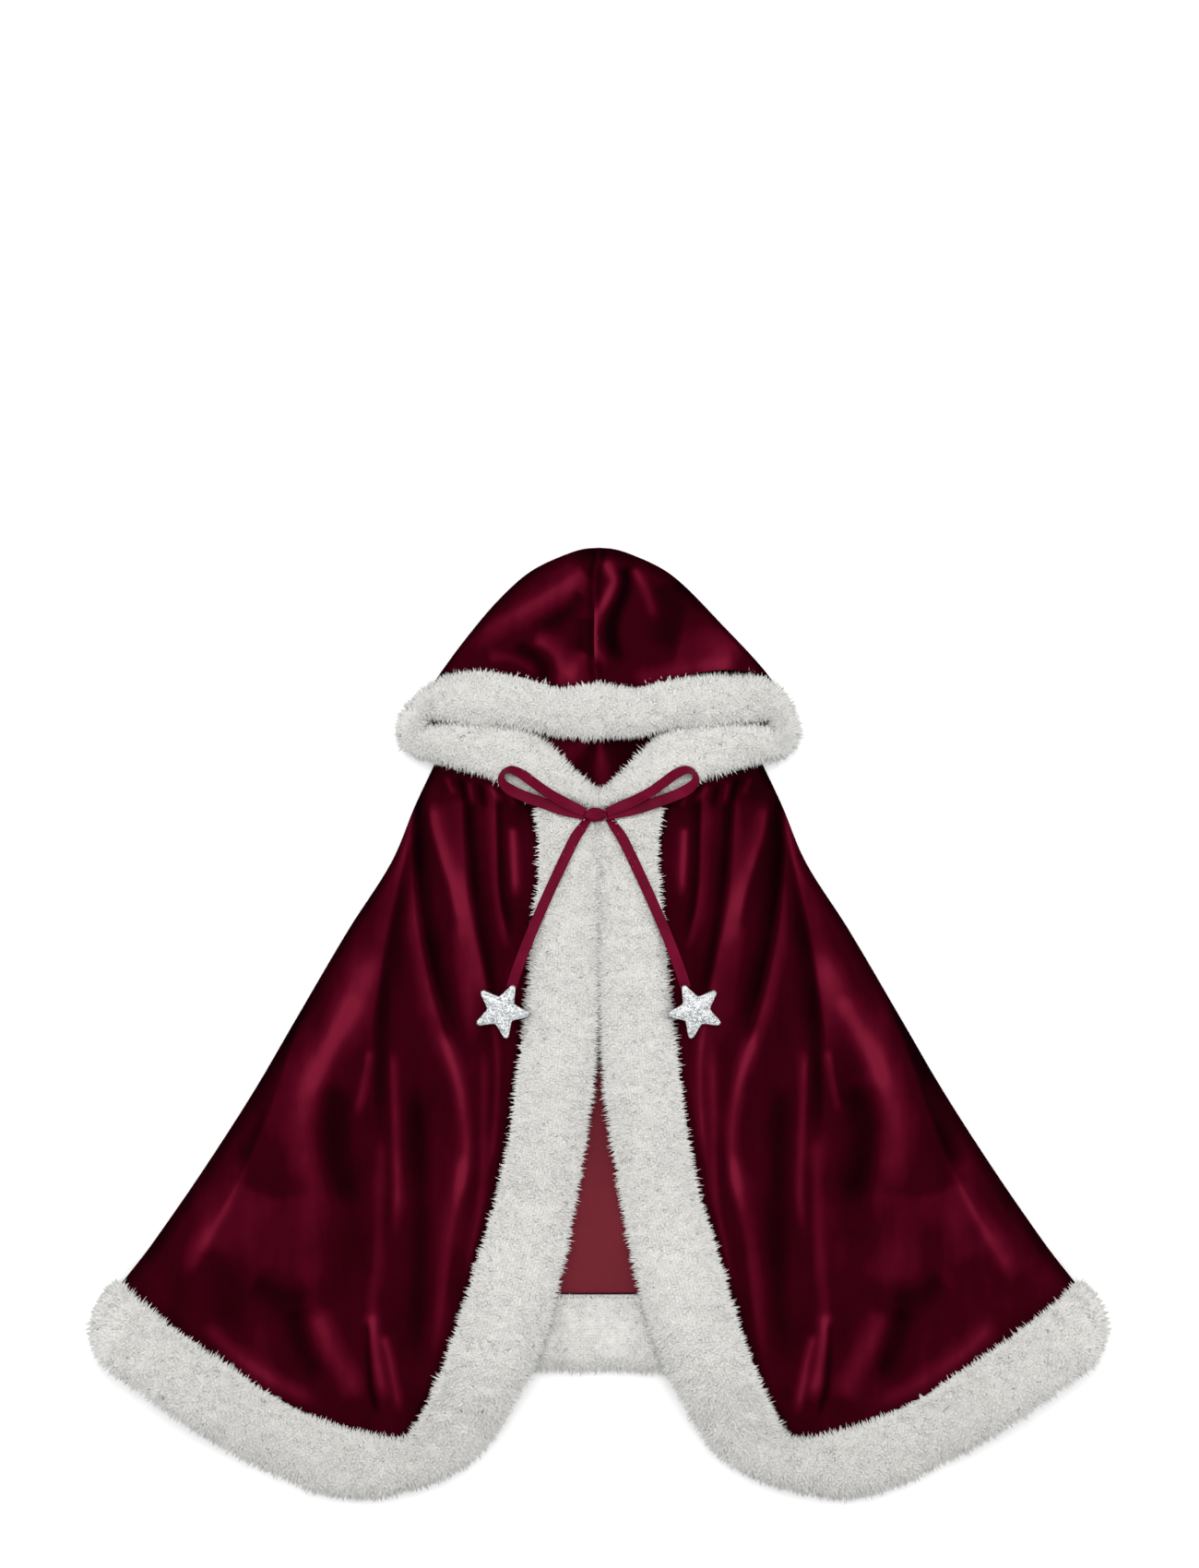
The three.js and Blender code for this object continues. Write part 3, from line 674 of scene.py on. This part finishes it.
# ---------- Front linings ----------
# Each front is lined with the same dusty-red cloth, which hangs a little below the velvet and is caught in
# the fur's seam.
LINING_HANG = 3
for side, hand in SIDES:
    piece = cloth(
        side + "_front_lining_panel", shrunk(front_plan, 0.09, 0.99, 0.01, 0.99),
        lambda u, v, x, y: front_level(0.09 + 0.9 * u, y) - LINING_HANG + 0.6 * ripple(x, y),
        90, 130, LINING, lining_dye, hand)
    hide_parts(side + "_yoke_lining", side + "_front_lining")
    ride_front(piece, side)

# ---------- Fur trims ----------
# White plush fur, folded in half over the cloth's edge, trims the fronts, the hem and the hood. Each band is
# a soft rounded tube whose faces are each drawn out into a fine tuft.
HAIR = 6.0
FUR_FLOOR = 0.2
FACE = 0.7


def even(way):
    """Places along a line that are evenly spaced, for v from 0 to 1."""
    t = np.linspace(0, 1, 400)
    run = np.concatenate([[0], np.cumsum(np.linalg.norm(np.diff(way(t), axis=0), axis=1))])
    return lambda v: np.interp(v, run / run[-1], t)


def fur():
    dye = Dye(
        "white_plush_fur", Roughness=0.95, Sheen_Weight=0.2, Sheen_Roughness=0.6, Specular_IOR_Level=0.1)
    tip = dye.own("tip")
    fine = dye.grain(420, 3)
    drift = dye.grain(45, 2)
    # The roots of the tufts are painted darker than their tips, as painted shade deep in the fur; the noise
    # adds random tone.
    shade = tip * 0.75 + fine * 0.22 + drift * 0.12
    dye.feed("Base Color", dye.ramp(shade, [
        (0.0, (0.62, 0.6, 0.565, 1)), (0.5, (0.79, 0.785, 0.76, 1)), (1.0, (0.86, 0.855, 0.835, 1))]))
    dye.bump(fine, 0.3, 0.0006)
    return dye


fur_dye = fur()


def fur_band(name, outer, inner, middle, half, around, rows, seed, hand=1, ceiling=60, seam=1.0):
    """A plush tube between two edges in mm, with middle(x, y, v) and half(x, y, v) its heights. FACE is its
    upper side's share of the points round it, and seam is how much hair is left along the inner edge."""
    rng = np.random.default_rng(seed)
    spacing = even(lambda t: (outer(t) + inner(t)) / 2)

    def place(u, v):
        turn = np.where(u < FACE, np.pi * u / FACE, np.pi + np.pi * (u - FACE) / (1 - FACE))
        t = spacing(v)
        a, b = outer(t), inner(t)
        width = np.linalg.norm(b - a, axis=1)
        run = np.minimum(v, 1 - v) * rows * 1.9
        end = np.sqrt(np.clip(1 - (1 - np.minimum(run / 12, 1)) ** 2, 0.004, 1))
        share = 0.5 - 0.5 * np.cos(turn) * (1 - 0.8 * HAIR / width) * end
        spot = a * (1 - share[:, None]) + b * share[:, None]
        centre = (a + b) / 2
        z = middle(centre[:, 0], centre[:, 1], v)
        swell = np.sign(np.sin(turn)) * np.abs(np.sin(turn)) ** 0.75
        z = z + swell * (half(centre[:, 0], centre[:, 1], v) - 0.45 * HAIR) * end
        return np.stack([hand * spot[:, 0], spot[:, 1], z], 1) * MM

    bm, _, _ = bent_grid(around, rows, place)
    bmesh.ops.remove_doubles(bm, verts=bm.verts, dist=1e-6)
    bmesh.ops.holes_fill(bm, edges=[e for e in bm.edges if e.is_boundary])
    bmesh.ops.recalc_face_normals(bm, faces=bm.faces)
    bm.normal_update()
    for vert in bm.verts:
        lump = noise.noise(vert.co * 45) * 1.6 + noise.noise(vert.co * 130) * 0.9
        vert.co += vert.normal * lump * MM
    layer = bm.verts.layers.float.new("tip")
    bm.normal_update()
    faces = bm.faces[:]
    out = np.array([f.normal[:] for f in faces])
    spot = np.array([f.calc_center_median()[:] for f in faces])
    tufts = bmesh.ops.poke(bm, faces=faces, center_mode="MEAN")["verts"]
    length = HAIR * (0.75 + 0.45 * rng.random(len(faces)))
    if seam < 1:
        seam_line = inner(np.linspace(0, 1, 80)) * MM
        away = np.abs(spot[:, 1] - np.interp(spot[:, 0], seam_line[:, 0], seam_line[:, 1]))
        length *= seam + (1 - seam) * smooth(away / (10 * MM))
    lean = rng.normal(0, 1.3, (len(faces), 3))
    for vert, way in zip(tufts, (out * length[:, None] + lean) * MM):
        vert.co += Vector(way)
        vert[layer] = 1
    for vert in bm.verts:
        vert.co.z = min(max(vert.co.z, FUR_FLOOR * MM), ceiling * MM)
    return finish_piece(bm, name, fur_dye)


# the two fronts' furs press into each other above the breast, and run up under the hood's edge
fur_edge = [(3, 198), (3, 150), (2.5, 90), (1.2, 40), (-1, -20), *((x, y) for x, y, _, _ in EDGE[5:])]
fur_seam = [(-58, 206), *cloth_edge[1:]]


def front_fur_middle(x, y, v):
    over = smooth((-150 - y) / 100)
    down = smooth((-300 - y) / 75)
    front = 13 + 11.5 * over - 14 * down
    hem = 10.5 + 14 * smooth((-270 - x) / 85) - 11 * smooth((-412 - x) / 16)
    return np.where(x < -150, hem, front)


def front_fur_half(x, y, v):
    tied = smooth((y - 40) / 90)
    side = smooth((-412 - x) / 16)
    return 10 - 2.5 * tied - 2 * smooth((-270 - x) / 85) + 4 * side


for side, hand in SIDES:
    piece = fur_band(
        side + "_front_trim", line(fur_edge), line(fur_seam), front_fur_middle, front_fur_half,
        52, 520, 11 + hand, hand)
    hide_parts(side + "_collar_fur", side + "_front_fur", side + "_front_hem_fur")
    ride_front(piece, side)

BACK_TOP = [(-413, -228), (-380, -233), (-200, -237), (0, -239), (200, -237), (380, -233), (413, -228)]
BACK_BASE = [(-432, -292), (-400, -299), (-200, -303), (0, -303), (200, -303), (400, -299), (432, -292)]
back_trim = fur_band(
    "back_hem_trim", line(BACK_BASE), line(BACK_TOP), lambda x, y, v: 7 + 0 * x, lambda x, y, v: 7 + 0 * x,
    50, 440, 31, ceiling=15, seam=0.25)
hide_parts("hem_fur")
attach(back_trim, "back")

# ---------- Hood ----------
# The hood is cut in two halves of velvet, seamed over the crown and puckered along the seam. Each half wraps
# from the floor round the rim to the fur at the face.
HOOD_LONG = 217 / 215
NAPE_Y = 196


def hood(points):
    return [(x, NAPE_Y + (y - NAPE_Y) * HOOD_LONG) for x, y in points]


CROWN = hood([
    (-139, 294), (-130, 308), (-110, 338), (-90, 363), (-60, 390), (-30, 404.6), (-13, 409.9), (0.4, 411)])
LIP_TOP = hood([
    (-163, 276), (-150, 288), (-137, 297), (-125, 301), (-98, 304), (-60, 297), (-32, 290), (0.4, 294)])
LIP_BOTTOM = hood([
    (-168, 263), (-148, 262.5), (-128, 261), (-105, 257.5), (-80, 256), (-52, 252.5), (-30, 248),
    (-0.15, 246.5)])
HOOD_FOLD = NAPE_Y + (250 - NAPE_Y) * HOOD_LONG
lip_seam = [(CROWN[0][0] + 3, CROWN[0][1] + 1), *((x, y + 0.6) for x, y in LIP_TOP[3:])]
crown_top = between(line(CROWN), line(lip_seam))


def fold_line(v):
    """The straight line along which the hood's back folds, from its side to its middle."""
    v = np.asarray(v, float)
    return np.stack([CROWN[0][0] + (CROWN[-1][0] - CROWN[0][0]) * v, HOOD_FOLD + 0.25 + 0 * v], -1)


crown_base = between(line(CROWN), fold_line)

# The hood's folds, with the columns of the front's folds: the first is painted light, a painted highlight
# where positive and a painted shade where negative.
LEFT_HOOD_FOLDS = [
    (0.34, 2.5, 7, 12, [(-8, 394), (-20, 384), (-49, 367), (-87, 345), (-114, 320)]),
    (0.44, 2.5, 5, 12, [(-60, 332), (-46, 327), (-38, 320), (-33, 308), (-33, 296), (-38, 286)]),
    (0.26, 1.5, 8, 8, [(-8, 322), (-18, 308), (-30, 297)]),
    (0.26, 1.5, 5, 6, [(-98, 316), (-78, 316), (-62, 309), (-50, 301)]),
    (-0.30, -1.0, 6, 8, [(-12, 374), (-22, 360), (-40, 348), (-60, 341)]),
    (-0.26, -1.0, 8, 5, [(-74, 329), (-56, 318), (-47, 306), (-46, 294)]),
    (-0.22, -1.0, 8, 8, [(-8, 352), (-12, 335), (-14, 318)]),
]
RIGHT_HOOD_FOLDS = [
    (0.62, 3.0, 6, 5, [
        (-3, 406), (-9, 396), (-15.5, 384), (-11, 370), (-3, 355), (1, 340), (0, 325), (-6, 314),
        (-17, 308)]),
    (0.40, 2.0, 5, 5, [(-29, 396), (-36, 385), (-41, 375), (-46, 360), (-49, 344)]),
    (0.32, 2.0, 26, 22, [(-66, 332), (-95, 325), (-124, 311)]),
    (0.30, 1.5, 8, 8, [(-28, 296), (-60, 303), (-100, 309), (-127, 309)]),
    (-0.48, -1.5, 5, 7, [(-24, 400), (-25, 385), (-23, 370), (-17, 355), (-14, 340), (-18, 322), (-30, 311)]),
    (-0.2, -1.0, 16, 14, [(-58, 384), (-64, 350), (-54, 318)]),
]


def crown_rise(distance, full):
    """How high the hood stands over its rim, at a distance in from the rim."""
    q = np.clip(distance / 45, 0, 1)
    return full * np.sqrt(1 - (1 - q) ** 2)


def hood_half(name, hand, folds, flare, inset, drop, thick, dye, seam):
    """Half the hood, from its back on the floor round the rim to the lip, as one sheet with a flared foot."""
    def plan(u, v):
        top = u > 0.4
        share = np.where(top, (u - 0.4) / 0.6, 1 - u / 0.4)
        v = inset + v * (1 - inset)
        spot = np.where(top[:, None], crown_top(share, v), crown_base(share, v))
        spot[:, 0] *= 1 + flare * smooth((368 - spot[:, 1]) / 70) + np.where(
            top, 0, 0.06 * smooth((300 - spot[:, 1]) / 40))
        reach = np.where(top, np.linalg.norm(crown_top(1.0 + 0 * v, v) - crown_top(0 * v, v), axis=1), 0)
        return spot, share * reach, top

    def place(u, v):
        spot, distance, top = plan(u, v)
        rise = crown_rise(distance, 21 - drop)
        height, _ = fold_field(spot[:, 0], spot[:, 1], folds)
        pucker = 1.3 * np.exp(-((spot[:, 0] / 3.5) ** 2)) * (1 + 0.5 * np.sin(spot[:, 1] / 2.1))
        room = smooth(distance / 20)
        z = np.where(top, 1.3 + rise + (height - seam * pucker) * room, 0.1 + drop * 0.2) + drop * 0.4
        centre = np.array([-50.0, 320.0])
        pulled = spot + (centre - spot) * (inset * 1.2)
        swing = -3.4 * np.exp(-((pulled[:, 0] / 26) ** 2)) * smooth((408 - pulled[:, 1]) / 22)
        swing *= smooth((pulled[:, 1] - 290) / 22)
        return np.stack([hand * pulled[:, 0] + swing, pulled[:, 1], z], 1) * MM

    bm, u, v = bent_grid(130, 110, place)
    layer = bm.verts.layers.float.new("pile")
    spot, distance, top = plan(u, v)
    _, painted_sheen_and_shade = fold_field(spot[:, 0], spot[:, 1], folds)
    # Painted light on the hood: painted highlight on the fold crests and painted shade in their dips, painted
    # shade along the rim where the hood turns down and beside the crown seam, and a painted highlight on the
    # seam itself. The flat back on the floor gets an even level.
    painted_edge_shade = 0.3 * (1 - smooth(distance / 16)) + 0.14 * np.exp(-(((spot[:, 0] + 4) / 2.5) ** 2))
    painted_edge_shade -= 0.16 * np.exp(-((spot[:, 0] / 1.3) ** 2))
    for vert, value in zip(bm.verts, np.where(top, 0.42 + painted_sheen_and_shade - painted_edge_shade, 0.25)):
        vert[layer] = value
    thicken(bm, thick * MM, (-hand * 60 * MM, 0.32, 0.006))
    return finish_piece(bm, name, dye)


# The hood's lining is the dusty-red lining cloth made much darker, as painted shade inside the hood.
lining_in_painted_shade_dye = lining("dusty_red_lining_in_painted_shade", (0.03, 0.002, 0.005, 1), (0.085, 0.008, 0.015, 1))
for side, hand in SIDES:
    folds, flare = (LEFT_HOOD_FOLDS, 0.035) if hand == 1 else (RIGHT_HOOD_FOLDS, 0.1)
    piece = hood_half(side + "_hood_panel", hand, folds, flare, 0, 0, VELVET, velvet_dye, 1)
    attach(piece, "hood")
    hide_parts(side + "_hood_velvet")
    piece = hood_half(side + "_hood_lining_panel", hand, folds, flare, 0.04, 3, LINING, lining_in_painted_shade_dye, 0)
    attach(piece, "hood")
    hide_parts(side + "_hood_lining")
    side + "_hood_panel"

# ---------- Nape ----------
# The hood's back runs on from the neck seam in velvet with its own lining, gathered into pleats that fan out
# from the middle of the neck.
nape_near = hood([(-139, 226), (-75, 206.6), (0, 196.6), (75, 206.6), (139, 226)])
nape_plan = between(
    line(nape_near), line([(-150, HOOD_FOLD + 1.2), (0, HOOD_FOLD + 1.2), (150, HOOD_FOLD + 1.2)]))


def nape_turned(u, v):
    return nape_plan(v, u)


def pleats(x, y):
    """Pleats that fan out from under the brow's middle, from 0 in their dips to 1 on their crests."""
    turn = np.arctan2(x, np.maximum(253 - y, 1))
    return 0.5 + 0.5 * np.sin(4.6 * turn + 1.0 * np.sin(3 * turn + 0.5) + 0.5)


nape_velvet = cloth(
    "nape_velvet_panel", nape_turned, lambda u, v, x, y: FLOOR_GAP + 0 * u, 80, 14, VELVET, velvet_dye,
    pile=back_painted_light, inside=(0, 0, 1))
# The nape's lining is drawn in the velvet's dark colours as painted shade under the brow, and its pleats get
# painted highlight on their crests and painted shade in their dips.
nape_lining = cloth(
    "nape_lining_panel", shrunk(nape_turned, 0.03, 0.97, 0.02, 1),
    lambda u, v, x, y: 2.4 + 2.2 * pleats(x, y) * smooth((1 - v) / 0.15), 260, 50, LINING, velvet_dye,
    pile=lambda u, v, x, y: 0.3 + 0.42 * pleats(x, y) ** 1.3)
for piece, slot, node in ((nape_velvet, "velvet", "nape_velvet"), (nape_lining, "lining", "nape_lining")):
    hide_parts(node)
    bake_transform(piece)

# ---------- Neck binding ----------
# A narrow strip of the lining cloth binds the neck seam on the inside.
binding_plan = between(
    line([(-112, 212), (-75, 203), (0, 193), (75, 203), (112, 212)]),
    line([(-112, 220), (-75, 211), (0, 201), (75, 211), (112, 220)]))
binding = cloth(
    "neck_binding_strip", lambda u, v: binding_plan(v, u),
    lambda u, v, x, y: 4.3 + 0.5 * np.sqrt(np.clip(1 - (2 * v - 1) ** 2, 0, 1)), 120, 8, LINING, lining_dye)
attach(binding, "back")
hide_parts("neck_binding")

# ---------- Lips of the hood ----------
# The same fur edges the hood's opening: one band over the brow, and a band on each side that comes down from
# the cheek to the collar's middle. The levels are the heights of the bands' middles in mm.
BROW_LEVEL = 17.2
CHEEK_LEVEL = 13.6
LIP_HALF = 9.8
MOUTH_EDGE = hood([
    (-173, 254), (-148, 256), (-128, 258), (-105, 260.5), (-80, 259), (-57, 251), (-46, 243), (-36, 233),
    (-26, 221), (-16, 211), (-5, 203), (4, 200)])
COLLAR_EDGE = hood([
    (-171, 243), (-160, 233), (-148, 229), (-133, 224), (-112, 218), (-90, 211), (-68, 198), (-48, 192),
    (-32, 189), (-18, 187), (-5, 184), (4, 182)])
brow_low = LIP_BOTTOM + mirrored(LIP_BOTTOM[:-1])[::-1]
RIGHT_LIP_TOP = hood([(-165, 276), (-155, 290), (-143, 297), (-125, 299), (-98, 301), (-60, 297), (-32, 290)])
brow_high = LIP_TOP[:-1] + [(0, LIP_TOP[-1][1])] + mirrored(RIGHT_LIP_TOP)[::-1]
brow = fur_band(
    "brow_trim", line(brow_low), line(brow_high), lambda x, y, v: BROW_LEVEL + 0 * x,
    lambda x, y, v: LIP_HALF + 0 * x, 46, 186, 41)
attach(brow, "hood")
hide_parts("left_upper_lip_fur", "right_upper_lip_fur")
for side, hand in SIDES:
    cheek = fur_band(
        side + "_cheek_trim", line(COLLAR_EDGE), line(MOUTH_EDGE), lambda x, y, v: CHEEK_LEVEL + 0 * x,
        lambda x, y, v: LIP_HALF + 0 * x, 40, 104, 51 + hand, hand)
    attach(cheek, "back")
    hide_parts(side + "_lower_lip_fur")

# a turn of the fur joins the brow to each cheek, round the end of the opening
TURN_OUTER = [(-148, 291), (-161, 278), (-171, 264), (-174.5, 252), (-171, 242), (-162, 234), (-148, 228)]
TURN_INNER = [(-136, 282), (-143, 273), (-148, 264), (-151, 257), (-148, 250), (-143, 244), (-136, 240)]
for side, hand in SIDES:
    turn = fur_band(
        side + "_cheek_turn", line(TURN_OUTER), line(TURN_INNER),
        lambda x, y, v: CHEEK_LEVEL + (BROW_LEVEL - CHEEK_LEVEL) * smooth((y - 240) / 30),
        lambda x, y, v: LIP_HALF + 0 * x, 34, 44, 61 + hand, hand)
    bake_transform(turn)

# ---------- Bow ----------
# The ribbon is tied in a bow over the collar: two flat loops that stand on edge at their tips, and a small
# knot with one turn of ribbon round it.
LOOP_ROUTE = [
    (-11.9, 182.2, 27.4), (-22, 187, 28.2), (-34, 193.5, 28.8), (-46, 200.8, 29.0), (-58, 209.5, 29.2),
    (-68, 216.5, 29.2), (-76.5, 219.5, 29.2), (-82.5, 217, 28.8), (-84.4, 210.8, 28.4), (-81, 205, 27.9),
    (-73, 200, 27.4), (-60, 194.5, 27.0), (-46, 189.6, 26.8), (-30, 184, 26.6), (-11.9, 179.4, 26.2),
]
RIGHT_LOOP_SHIFT = 4.9  # the knot sits a little to the left of the middle
along_loop = np.linspace(0, 1, 141)
for side, hand in SIDES:
    shift = 0 if hand == 1 else RIGHT_LOOP_SHIFT
    route = [(x + shift * (1 - smooth(np.array((-x - 13) / 30))), y, z) for x, y, z in LOOP_ROUTE]
    loop_path = spline(route, along_loop) * MM * (hand, 1, 1)
    lean = hand * (0.5 * smooth(along_loop / 0.2) * (1 - smooth((along_loop - 0.62) / 0.12))
                   + 0.6 * np.exp(-(((along_loop - 0.5) / 0.1) ** 2)))
    wide = RIBBON_WIDTH * (0.85 + 0.2 * smooth(along_loop / 0.1) * smooth((1 - along_loop) / 0.1))
    loop = strip(side + "_bow_loop", loop_path, wide, lean)
    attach(loop, side + "_loop")
    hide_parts(side + "_loop")

KNOT = Vector((-2.5, 180, 25.3)) * MM
KNOT_HALF = (10.3, 6.2, 4.6)
knot_bm = bmesh.new()
bmesh.ops.create_uvsphere(knot_bm, u_segments=64, v_segments=40, radius=1)
for vert in knot_bm.verts:
    ridge = 0.06 * math.sin(9 * vert.co.y + 3 * vert.co.x) * (1 - abs(vert.co.x)) ** 0.5
    waist = 1 - 0.16 * math.exp(-(((abs(vert.co.x) - 0.72) / 0.14) ** 2))
    girth = (1 + ridge) * waist
    vert.co = KNOT + Vector((
        vert.co.x * KNOT_HALF[0], vert.co.y * KNOT_HALF[1] * girth, vert.co.z * KNOT_HALF[2] * girth)) * MM
knot = finish_piece(knot_bm, "bow_knot", satin_dye)
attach(knot, "back")
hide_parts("knot")
